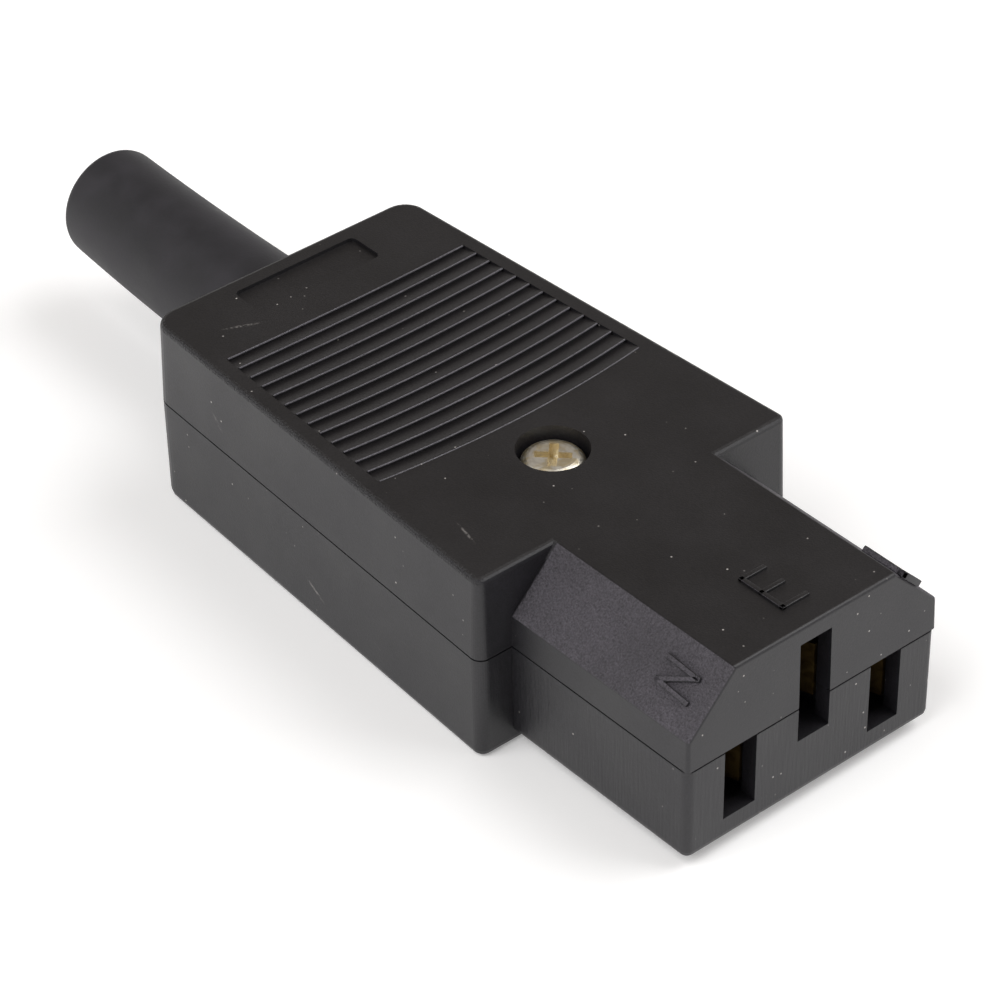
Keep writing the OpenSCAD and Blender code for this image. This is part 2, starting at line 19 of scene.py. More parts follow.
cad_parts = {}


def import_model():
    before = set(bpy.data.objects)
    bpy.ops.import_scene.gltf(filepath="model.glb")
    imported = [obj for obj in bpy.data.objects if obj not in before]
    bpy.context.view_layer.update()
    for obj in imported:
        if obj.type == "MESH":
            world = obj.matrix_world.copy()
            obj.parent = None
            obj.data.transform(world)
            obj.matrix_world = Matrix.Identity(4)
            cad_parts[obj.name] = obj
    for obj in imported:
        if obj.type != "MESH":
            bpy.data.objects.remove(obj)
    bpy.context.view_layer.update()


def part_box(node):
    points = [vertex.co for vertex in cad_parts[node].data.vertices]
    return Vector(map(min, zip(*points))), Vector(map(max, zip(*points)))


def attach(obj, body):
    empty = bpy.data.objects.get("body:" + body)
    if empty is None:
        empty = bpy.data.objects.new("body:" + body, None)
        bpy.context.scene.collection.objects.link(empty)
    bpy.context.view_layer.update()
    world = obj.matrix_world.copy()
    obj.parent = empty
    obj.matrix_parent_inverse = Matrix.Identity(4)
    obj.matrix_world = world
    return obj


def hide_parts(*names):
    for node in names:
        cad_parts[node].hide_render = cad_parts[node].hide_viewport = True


LOG = logging.getLogger("connector")
MM = 0.001
BODY = "root"
SHARP = math.radians(35)  # an edge that turns more than this is shaded sharp
ROUND_PROFILE = 0.5  # bmesh's value for a round bevel
NOISE_LOW, NOISE_HIGH = 0.3, 0.7  # nearly all of a noise pattern lies between these

# The Mix node repeats its socket names for each type of data, so its sockets are given by number.
VALUE_A, VALUE_B, VALUE_OUT = 2, 3, 0
COLOUR_A, COLOUR_B, COLOUR_OUT = 6, 7, 2

Point = tuple[float, float, float]
Span = tuple[float, float]
Stroke = tuple[float, float, float, float]


class Slot(Enum):
    """The record's material slots for the shell plastic and the boot rubber; the pieces made here get their
    finish directly, not through these names.
    """

    SHELL = "shell_plastic"
    BOOT = "boot_rubber"


class Pole(Enum):
    """The three poles, named by the letter that marks each one."""

    EARTH = "E"
    NEUTRAL = "N"
    LINE = "L"


class Measure(Enum):
    """What one kind of mould surface is told from another by."""

    ALONG = "place along the part"
    HEIGHT = "height above the lowest face"
    FACING_UP = "how far the surface faces up, from -1 to 1"
    FACING_ASIDE = "how far the surface faces either side, from 0 to 1"


class MouldFace(Enum):
    """The kinds of mould surface that the shells show, apart from their plain sides."""

    TOP = "satin top"
    BEVEL = "spark-eroded bevels of the nose"
    RIM = "crumbly rounding along the top edges of the body"
    LOWER_NOSE = "drawn walls of the nose below the seam"


def linear(hex_colour: str) -> tuple[float, float, float, float]:
    """Turns an sRGB hex colour to linear.

    Args:
        hex_colour: six hex digits, with or without a leading hash.

    Returns:
        Linear red, green and blue, with alpha 1.
    """
    digits = hex_colour.lstrip("#")
    parts = [int(digits[i : i + 2], 16) / 255 for i in (0, 2, 4)]
    red, green, blue = (c / 12.92 if c <= 0.04045 else ((c + 0.055) / 1.055) ** 2.4 for c in parts)
    return red, green, blue, 1.0


def add_node(
    tree: bpy.types.NodeTree,
    kind: str,
    inputs: Mapping[str | int, object] | None = None,
    **settings: object,
) -> bpy.types.Node:
    """Adds a node with its settings, values and links.

    Args:
        tree: the node tree that gets the node.
        kind: Blender's name for the node's type.
        inputs: socket name or number to a plain value, or to an output socket that is linked to it.
        **settings: attributes of the node itself.

    Returns:
        The new node.
    """
    node = tree.nodes.new(kind)
    for name, value in settings.items():
        setattr(node, name, value)
    for key, value in (inputs or {}).items():
        if isinstance(value, bpy.types.NodeSocket):
            tree.links.new(value, node.inputs[key])
        else:
            node.inputs[key].default_value = value
    return node


def start_material(name: str) -> tuple[bpy.types.Material, bpy.types.NodeSocket, bpy.types.NodeSocket]:
    """Starts a material from the place and the facing of each point.

    Args:
        name: the material's name.

    Returns:
        The material, the point in millimetres, and the surface normal, both in the row's frame.
    """
    material = bpy.data.materials.new(name)
    material.use_nodes = True
    tree = material.node_tree
    tree.nodes.clear()
    coords = add_node(tree, "ShaderNodeTexCoord")
    scaled = add_node(
        tree, "ShaderNodeVectorMath", {0: coords.outputs["Object"], "Scale": 1 / MM}, operation="SCALE"
    )
    return material, scaled.outputs["Vector"], coords.outputs["Normal"]


def finish_material(material: bpy.types.Material, surface: Mapping[str, object]) -> bpy.types.Material:
    """Closes a material with its surface.

    Args:
        material: the material, with its patterns in place.
        surface: what the surface shader takes, by socket name.

    Returns:
        The same material.
    """
    shader = add_node(material.node_tree, "ShaderNodeBsdfPrincipled", surface)
    add_node(material.node_tree, "ShaderNodeOutputMaterial", {"Surface": shader.outputs[0]})
    return material


def mask_where(
    tree: bpy.types.NodeTree,
    borders: Sequence[tuple[bpy.types.NodeSocket, float, float]],
    also: Sequence[bpy.types.NodeSocket | float] = (),
) -> bpy.types.NodeSocket:
    """Makes a smooth mask that is 1 where every value has crossed its border.

    Args:
        tree: the material's node tree.
        borders: a value that is measured, where the mask is 0 for it, and where the mask is 1 for it.
        also: other masks, which multiply this one.

    Returns:
        The mask's output.
    """
    masks: list[bpy.types.NodeSocket | float] = []
    for value, outside, inside in borders:
        fade = add_node(
            tree,
            "ShaderNodeMapRange",
            {
                "Value": value,
                "From Min": min(outside, inside),
                "From Max": max(outside, inside),
                "To Min": float(outside > inside),
                "To Max": float(outside < inside),
            },
            interpolation_type="SMOOTHSTEP",
        )
        masks.append(fade.outputs["Result"])
    masks.extend(also)
    total = masks[0]
    for mask in masks[1:]:
        total = add_node(tree, "ShaderNodeMath", {0: total, 1: mask}, operation="MULTIPLY").outputs[0]
    return total


@dataclass(frozen=True)
class Fade:
    """One border of a zone: its mask is 0 at one value of the measure and 1 at the other."""

    measure: Measure
    outside: float
    inside: float


@dataclass(frozen=True)
class Scratch:
    """One pale rub mark: its middle, its direction, its length and width, and how strongly it shows."""

    middle: Point
    along: Point
    length: float
    width: float
    strength: float
    core: float = 0.2  # the share of the mark that shows in full

    def mask(self, tree: bpy.types.NodeTree, place: bpy.types.NodeSocket) -> bpy.types.NodeSocket:
        """Builds the mark's mask.

        Args:
            tree: the material's node tree.
            place: the point in millimetres.

        Returns:
            An output that is the mark's strength on its line and 0 away from it.
        """
        turn = Vector(self.along).to_track_quat("X", "Z").to_euler()
        local = add_node(
            tree,
            "ShaderNodeMapping",
            {
                "Vector": place,
                "Location": self.middle,
                "Rotation": turn,
                "Scale": (self.length / 2, self.width / 2, self.width / 2),
            },
            vector_type="TEXTURE",
        )
        reach = add_node(tree, "ShaderNodeVectorMath", {0: local.outputs["Vector"]}, operation="LENGTH")
        inside = add_node(
            tree,
            "ShaderNodeMapRange",
            {
                "Value": reach.outputs["Value"],
                "From Min": self.core,
                "From Max": 1.0,
                "To Min": self.strength,
                "To Max": 0.0,
            },
        )
        return inside.outputs["Result"]


@dataclass(frozen=True)
class MouldPatterns:
    """The masks and noises that every part of the moulded finish is worked out from."""

    zones: Mapping[MouldFace, bpy.types.NodeSocket]
    pits: bpy.types.NodeSocket
    craters: bpy.types.NodeSocket
    clouds: bpy.types.NodeSocket
    streaks: bpy.types.NodeSocket


@dataclass(frozen=True)
class MouldedNylon:
    """Black glass-filled nylon 66 as moulded: satin top, finely matt sides, spark-eroded bevels."""

    name: str = "black_nylon_66_moulded"
    # Carbon-black nylon has nearly no diffuse colour, so what it mirrors makes it look brown or grey.
    top_colour: str = "#151314"
    side_colour: str = "#17161A"
    bevel_colour: str = "#454248"
    dust_colour: str = "#B9B4B0"
    ior: float = 1.53
    top_roughness: float = 0.44
    side_roughness: float = 0.44
    bevel_roughness: float = 0.72
    roughness_shift: Span = (-0.04, 0.05)
    mottle: Span = (0.82, 1.2)  # how far the clouds darken and lighten the colour
    speckle: Span = (0.6, 1.7)  # how far the pits do
    speckle_reach: Span = (0.3, 0.75)
    pit: float = 0.14  # mm between pits, drawn about twice as coarse as the real ones so that they show
    crater: float = 0.28  # mm between the craters of the eroded faces
    cloud: float = 6.25  # mm between the patches of slightly different gloss
    streaks_per_mm: Point = (4.0, 4.0, 0.35)  # streaks 0.25 mm wide and about 3 mm long, down the wall
    pit_depth: float = 0.012
    crater_depth: float = 0.3
    crumb_depth: float = 0.32
    streak_depth: float = 0.03
    specks_per_mm: float = 0.85
    speck_edge: Span = (0.085, 0.03)
    speck_chance: Span = (0.55, 1.0)
    tears_per_mm: float = 3.2
    torn: Span = (0.42, 0.62)
    body_front: float = 23.9
    nose_border: Span = (-0.1, 0.05)
    bevel_foot: float = 11.8
    split: float = 9.0
    scratches: tuple[Scratch, ...] = ()

    def build(self) -> bpy.types.Material:
        """Builds the material, with a zone for each kind of mould surface.

        Returns:
            The node material.
        """
        material, place, facing = start_material(self.name)
        tree = material.node_tree
        patterns = self.patterns(tree, place, facing)
        relief = self.relief(tree, patterns)
        bump = add_node(tree, "ShaderNodeBump", {"Height": relief, "Distance": MM, "Strength": 1.0})
        return finish_material(
            material,
            {
                "Base Color": self.colour(tree, patterns, self.dust(tree, place)),
                "Roughness": self.roughness(tree, patterns),
                "IOR": self.ior,
                "Normal": bump.outputs["Normal"],
            },
        )

    def borders(self) -> dict[MouldFace, tuple[Fade, ...]]:
        """Says where each kind of mould surface lies.

        Returns:
            The borders of each zone, which lies where all of them are crossed.
        """
        body_side, nose_side = (self.body_front + shift for shift in self.nose_border)
        on_nose = Fade(Measure.ALONG, body_side, nose_side)
        return {
            MouldFace.TOP: (
                Fade(Measure.FACING_UP, 0.86, 0.97),
                Fade(Measure.HEIGHT, 14.6, 15.0),
            ),
            MouldFace.BEVEL: (
                on_nose,
                Fade(Measure.FACING_UP, 0.3, 0.45),
                Fade(Measure.FACING_UP, 0.93, 0.84),
                Fade(Measure.FACING_ASIDE, 0.35, 0.5),
                Fade(Measure.HEIGHT, self.bevel_foot - 0.25, self.bevel_foot),
            ),
            MouldFace.RIM: (
                Fade(Measure.ALONG, nose_side, body_side),
                Fade(Measure.FACING_UP, 0.08, 0.3),
                Fade(Measure.FACING_UP, 0.995, 0.93),
                Fade(Measure.FACING_ASIDE, 0.1, 0.3),
                Fade(Measure.HEIGHT, 14.8, 15.2),
            ),
            MouldFace.LOWER_NOSE: (
                on_nose,
                Fade(Measure.HEIGHT, self.split, self.split - 0.1),
            ),
        }

    def patterns(
        self, tree: bpy.types.NodeTree, place: bpy.types.NodeSocket, facing: bpy.types.NodeSocket
    ) -> MouldPatterns:
        """Builds the zones and the noises.

        Args:
            tree: the material's node tree.
            place: the point in millimetres.
            facing: the surface normal.

        Returns:
            The zones' masks and the noises.
        """
        at = add_node(tree, "ShaderNodeSeparateXYZ", {0: place}).outputs
        to = add_node(tree, "ShaderNodeSeparateXYZ", {0: facing}).outputs
        aside = add_node(tree, "ShaderNodeMath", {0: to["Y"]}, operation="ABSOLUTE").outputs[0]
        measured = {
            Measure.ALONG: at["X"],
            Measure.HEIGHT: at["Z"],
            Measure.FACING_UP: to["Z"],
            Measure.FACING_ASIDE: aside,
        }
        zones = {
            face: mask_where(tree, [(measured[fade.measure], fade.outside, fade.inside) for fade in fades])
            for face, fades in self.borders().items()
        }
        pits = add_node(
            tree,
            "ShaderNodeTexNoise",
            {"Vector": place, "Scale": 1 / self.pit, "Detail": 2.0, "Roughness": 0.6},
        )
        craters = add_node(
            tree,
            "ShaderNodeTexNoise",
            {"Vector": place, "Scale": 1 / self.crater, "Detail": 3.0, "Roughness": 0.65},
        )
        clouds = add_node(
            tree,
            "ShaderNodeTexNoise",
            {"Vector": place, "Scale": 1 / self.cloud, "Detail": 3.0, "Roughness": 0.55},
        )
        long_way = add_node(tree, "ShaderNodeMapping", {"Vector": place, "Scale": self.streaks_per_mm})
        streaks = add_node(
            tree, "ShaderNodeTexNoise", {"Vector": long_way.outputs["Vector"], "Scale": 1.0, "Detail": 3.0}
        )
        return MouldPatterns(zones, *(noise.outputs["Fac"] for noise in (pits, craters, clouds, streaks)))

    def colour(
        self, tree: bpy.types.NodeTree, patterns: MouldPatterns, dust: bpy.types.NodeSocket
    ) -> bpy.types.NodeSocket:
        """Builds the colour: a tone for each zone, mottled and speckled, under the dust.

        Args:
            tree: the material's node tree.
            patterns: the zones and noises.
            dust: the mask of dust specks and rub marks.

        Returns:
            The colour's output.
        """
        sides_and_top = add_node(
            tree,
            "ShaderNodeMix",
            {
                "Factor": patterns.zones[MouldFace.TOP],
                COLOUR_A: linear(self.side_colour),
                COLOUR_B: linear(self.top_colour),
            },
            data_type="RGBA",
        ).outputs[COLOUR_OUT]
        with_bevels = add_node(
            tree,
            "ShaderNodeMix",
            {
                "Factor": patterns.zones[MouldFace.BEVEL],
                COLOUR_A: sides_and_top,
                COLOUR_B: linear(self.bevel_colour),
            },
            data_type="RGBA",
        ).outputs[COLOUR_OUT]
        mottle = add_node(
            tree,
            "ShaderNodeMapRange",
            {
                "Value": patterns.clouds,
                "From Min": NOISE_LOW,
                "From Max": NOISE_HIGH,
                "To Min": self.mottle[0],
                "To Max": self.mottle[1],
            },
        ).outputs["Result"]
        speckle = add_node(
            tree,
            "ShaderNodeMapRange",
            {
                "Value": patterns.pits,
                "From Min": self.speckle_reach[0],
                "From Max": self.speckle_reach[1],
                "To Min": self.speckle[0],
                "To Max": self.speckle[1],
            },
        ).outputs["Result"]
        tone = add_node(tree, "ShaderNodeMath", {0: mottle, 1: speckle}, operation="MULTIPLY").outputs[0]
        toned = add_node(
            tree, "ShaderNodeVectorMath", {0: with_bevels, "Scale": tone}, operation="SCALE"
        ).outputs["Vector"]
        return add_node(
            tree,
            "ShaderNodeMix",
            {"Factor": dust, COLOUR_A: toned, COLOUR_B: linear(self.dust_colour)},
            data_type="RGBA",
        ).outputs[COLOUR_OUT]

    def roughness(self, tree: bpy.types.NodeTree, patterns: MouldPatterns) -> bpy.types.NodeSocket:
        """Builds the roughness of each zone, which shifts a little from patch to patch.

        Args:
            tree: the material's node tree.
            patterns: the zones and noises.

        Returns:
            The roughness's output.
        """
        sides_and_top = add_node(
            tree,
            "ShaderNodeMix",
            {
                "Factor": patterns.zones[MouldFace.TOP],
                VALUE_A: self.side_roughness,
                VALUE_B: self.top_roughness,
            },
        ).outputs[VALUE_OUT]
        with_bevels = add_node(
            tree,
            "ShaderNodeMix",
            {
                "Factor": patterns.zones[MouldFace.BEVEL],
                VALUE_A: sides_and_top,
                VALUE_B: self.bevel_roughness,
            },
        ).outputs[VALUE_OUT]
        shift = add_node(
            tree,
            "ShaderNodeMapRange",
            {
                "Value": patterns.clouds,
                "From Min": NOISE_LOW,
                "From Max": NOISE_HIGH,
                "To Min": self.roughness_shift[0],
                "To Max": self.roughness_shift[1],
            },
        ).outputs["Result"]
        return add_node(
            tree, "ShaderNodeMath", {0: with_bevels, 1: shift}, operation="ADD", use_clamp=True
        ).outputs[0]

    def relief(self, tree: bpy.types.NodeTree, patterns: MouldPatterns) -> bpy.types.NodeSocket:
        """Builds the height of the texture: pits all over, and a coarser pattern in three zones.

        Args:
            tree: the material's node tree.
            patterns: the zones and noises.

        Returns:
            The output that carries the height in millimetres.
        """
        height = add_node(
            tree, "ShaderNodeMath", {0: patterns.pits, 1: self.pit_depth}, operation="MULTIPLY"
        ).outputs[0]
        for face, pattern, depth in (
            (MouldFace.BEVEL, patterns.craters, self.crater_depth),
            (MouldFace.RIM, patterns.craters, self.crumb_depth),
            (MouldFace.LOWER_NOSE, patterns.streaks, self.streak_depth),
        ):
            here = add_node(
                tree, "ShaderNodeMath", {0: patterns.zones[face], 1: pattern}, operation="MULTIPLY"
            ).outputs[0]
            height = add_node(
                tree, "ShaderNodeMath", {0: here, 1: depth, 2: height}, operation="MULTIPLY_ADD"
            ).outputs[0]
        return height

    def dust(self, tree: bpy.types.NodeTree, place: bpy.types.NodeSocket) -> bpy.types.NodeSocket:
        """Builds the mask of dust specks and rub marks.

        Args:
            tree: the material's node tree.
            place: the point in millimetres.

        Returns:
            A mask that is 0 on clean plastic.
        """
        cells = add_node(
            tree, "ShaderNodeTexVoronoi", {"Vector": place, "Scale": self.specks_per_mm, "Randomness": 1.0}
        ).outputs
        chance = add_node(tree, "ShaderNodeSeparateColor", {0: cells["Color"]}).outputs[0]
        specks = mask_where(tree, [(cells["Distance"], *self.speck_edge), (chance, *self.speck_chance)])
        tears = add_node(
            tree,
            "ShaderNodeTexNoise",
            {"Vector": place, "Scale": self.tears_per_mm, "Detail": 4.0, "Roughness": 0.7},
        ).outputs["Fac"]
        marks: bpy.types.NodeSocket | float = 0.0
        for scratch in self.scratches:
            marks = add_node(
                tree, "ShaderNodeMath", {0: scratch.mask(tree, place), 1: marks}, operation="MAXIMUM"
            ).outputs[0]
        rubbed = mask_where(tree, [(tears, *self.torn)], [marks])
        return add_node(tree, "ShaderNodeMath", {0: specks, 1: rubbed}, operation="MAXIMUM").outputs[0]


@dataclass(frozen=True)
class BootRubber:
    """Black EPDM rubber, moulded: deep black with a soft dull sheen and a faint dusty bloom."""

    name: str = "black_epdm_rubber_moulded"
    colour: str = "#1E1D21"
    bloom_colour: str = "#2A282D"
    ior: float = 1.52
    roughness: float = 0.6
    roughness_shift: Span = (-0.06, 0.08)
    dimple: float = 0.3  # mm between the dimples of the moulded skin
    dimple_depth: float = 0.012
    blooms_per_mm: float = 0.22
    bloom_edge: Span = (0.35, 0.75)

    def build(self) -> bpy.types.Material:
        """Builds the material.

        Returns:
            The node material.
        """
        material, place, _ = start_material(self.name)
        tree = material.node_tree
        dimples = add_node(
            tree,
            "ShaderNodeTexNoise",
            {"Vector": place, "Scale": 1 / self.dimple, "Detail": 3.0, "Roughness": 0.6},
        ).outputs["Fac"]
        clouds = add_node(
            tree,
            "ShaderNodeTexNoise",
            {"Vector": place, "Scale": self.blooms_per_mm, "Detail": 4.0, "Roughness": 0.6},
        ).outputs["Fac"]
        colour = add_node(
            tree,
            "ShaderNodeMix",
            {
                "Factor": mask_where(tree, [(clouds, *self.bloom_edge)]),
                COLOUR_A: linear(self.colour),
                COLOUR_B: linear(self.bloom_colour),
            },
            data_type="RGBA",
        ).outputs[COLOUR_OUT]
        rough = add_node(
            tree,
            "ShaderNodeMapRange",
            {
                "Value": clouds,
                "From Min": NOISE_LOW,
                "From Max": NOISE_HIGH,
                "To Min": self.roughness + self.roughness_shift[0],
                "To Max": self.roughness + self.roughness_shift[1],
            },
        ).outputs["Result"]
        bump = add_node(
            tree, "ShaderNodeBump", {"Height": dimples, "Distance": self.dimple_depth * MM, "Strength": 1.0}
        )
        return finish_material(
            material,
            {"Base Color": colour, "Roughness": rough, "IOR": self.ior, "Normal": bump.outputs["Normal"]},
        )


@dataclass(frozen=True)
class PlatedMetal:
    """A metal part with a thin plating or its own oxide, a little uneven in colour and gloss."""

    name: str
    colour: str
    tint: str
    roughness: float
    roughness_shift: Span = (-0.05, 0.1)
    mark: float = 0.25  # mm between the marks that the parts leave on each other in the plating barrel
    mark_depth: float = 0.01
    tints_per_mm: float = 0.9
    tint_edge: Span = (0.38, 0.62)

    def build(self) -> bpy.types.Material:
        """Builds the material.

        Returns:
            The node material.
        """
        material, place, _ = start_material(self.name)
        tree = material.node_tree
        marks = add_node(
            tree,
            "ShaderNodeTexNoise",
            {"Vector": place, "Scale": 1 / self.mark, "Detail": 3.0, "Roughness": 0.6},
        ).outputs["Fac"]
        haze = add_node(
            tree,
            "ShaderNodeTexNoise",
            {"Vector": place, "Scale": self.tints_per_mm, "Detail": 2.0, "Distortion": 0.6},
        ).outputs["Fac"]
        colour = add_node(
            tree,
            "ShaderNodeMix",
            {
                "Factor": mask_where(tree, [(haze, *self.tint_edge)]),
                COLOUR_A: linear(self.colour),
                COLOUR_B: linear(self.tint),
            },
            data_type="RGBA",
        ).outputs[COLOUR_OUT]
        rough = add_node(
            tree,
            "ShaderNodeMapRange",
            {
                "Value": marks,
                "From Min": NOISE_LOW,
                "From Max": NOISE_HIGH,
                "To Min": self.roughness + self.roughness_shift[0],
                "To Max": self.roughness + self.roughness_shift[1],
            },
        ).outputs["Result"]
        bump = add_node(
            tree, "ShaderNodeBump", {"Height": marks, "Distance": self.mark_depth * MM, "Strength": 1.0}
        )
        return finish_material(
            material,
            {"Base Color": colour, "Metallic": 1.0, "Roughness": rough, "Normal": bump.outputs["Normal"]},
        )


@dataclass(frozen=True)
class SweepPaper:
    """White matt card for the studio floor, which a light table under it makes glow a little."""

    name: str = "white_matt_card"
    colour: str = "#F7F7F7"
    specular: float = 0.2
    glow: float = 0.25  # lifts the shadows
    fibre: float = 0.4  # mm between paper fibres
    fibre_depth: float = 0.004
    gloss_edge: Span = (-1.0, 1.2)  # so wide that the roughness stays between about 0.6 and 0.9

    def build(self) -> bpy.types.Material:
        """Builds the material.

        Returns:
            The node material.
        """
        material, place, _ = start_material(self.name)
        tree = material.node_tree
        fibres = add_node(
            tree, "ShaderNodeTexNoise", {"Vector": place, "Scale": 1 / self.fibre, "Detail": 2.0}
        ).outputs["Fac"]
        bump = add_node(
            tree, "ShaderNodeBump", {"Height": fibres, "Distance": self.fibre_depth * MM, "Strength": 1.0}
        )
        return finish_material(
            material,
            {
                "Base Color": linear(self.colour),
                "Roughness": mask_where(tree, [(fibres, *self.gloss_edge)]),
                "Specular IOR Level": self.specular,
                "Emission Color": linear(self.colour),
                "Emission Strength": self.glow,
                "Normal": bump.outputs["Normal"],
            },
        )


def bridge(mesh: bmesh.types.BMesh, rings: Sequence[Sequence[bmesh.types.BMVert]]) -> None:
    """Joins each ring of points to the next one with four-cornered faces.

    Args:
        mesh: the mesh that holds the points.
        rings: rings of the same number of points, in order.
    """
    for ring, after in zip(rings, rings[1:]):
        for side in range(len(ring)):
            beside = (side + 1) % len(ring)
            mesh.faces.new((ring[side], ring[beside], after[beside], after[side]))


def make_piece(
    name: str, build: bmesh.types.BMesh, material: bpy.types.Material
) -> bpy.types.Object:
    """Turns a finished mesh, in millimetres, into a piece that rides on the part.

    Args:
        name: the piece's name.
        build: the mesh, which is freed.
        material: its finish.

    Returns:
        The new object.
    """
    bmesh.ops.recalc_face_normals(build, faces=build.faces)
    bmesh.ops.scale(build, vec=(MM, MM, MM), verts=build.verts)
    mesh = bpy.data.meshes.new(name)
    build.to_mesh(mesh)
    build.free()
    for polygon in mesh.polygons:
        polygon.use_smooth = True
    mesh.set_sharp_from_angle(angle=SHARP)
    mesh.materials.append(material)
    piece = bpy.data.objects.new(name, mesh)
    bpy.context.scene.collection.objects.link(piece)
    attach(piece, BODY)
    LOG.info("piece %s: %d faces", name, len(mesh.polygons))
    return piece


def dress(node: str, material: bpy.types.Material) -> None:
    """Gives a CAD node its finish in every one of its material slots.

    Args:
        node: the CAD node's name.
        material: the finish.
    """
    obj = bpy.data.objects[node]
    if not obj.material_slots:
        obj.data.materials.append(material)
    for held in obj.material_slots:
        held.material = material
    LOG.info("node %s: %s", node, material.name)


@dataclass
class PoleLetter:
    """One raised pole letter, made of straight strokes on a flat mould face.

    Each stroke runs from one place to another, and a place is a distance across and a distance down.
    """

    pole: Pole
    origin: Point
    across: Point
    down: Point
    strokes: Sequence[Stroke]
    width: float = 0.42
    proud: float = 0.2
    sunk: float = 0.05
    round_over: float = 0.07
    round_steps: int = 3

    def build(self, material: bpy.types.Material) -> None:
        """Makes the letter as one mesh of rounded bars.

        Args:
            material: the shell's own plastic.
        """
        mesh = bmesh.new()
        right, foot = Vector(self.across).normalized(), Vector(self.down).normalized()
        out = right.cross(foot)
        if out.z < 0:
            out = -out
        for x0, y0, x1, y1 in self.strokes:
            run = right * (x1 - x0) + foot * (y1 - y0)
            along = run.normalized()
            aside = out.cross(along)
            middle = Vector(self.origin) + right * (x0 + x1) / 2 + foot * (y0 + y1) / 2
            middle += out * (self.proud - self.sunk) / 2
            frame = Matrix((along, aside, out)).transposed().to_4x4()
            size = Matrix.Diagonal((run.length + self.width, self.width, self.proud + self.sunk, 1.0))
            bar = bmesh.ops.create_cube(mesh, size=1.0, matrix=Matrix.Translation(middle) @ frame @ size)
            bmesh.ops.bevel(
                mesh,
                geom=list({edge for corner in bar["verts"] for edge in corner.link_edges}),
                offset=self.round_over,
                segments=self.round_steps,
                profile=ROUND_PROFILE,
                affect="EDGES",
                clamp_overlap=True,
            )
        make_piece(f"pole_letter_{self.pole.value}", mesh, material)


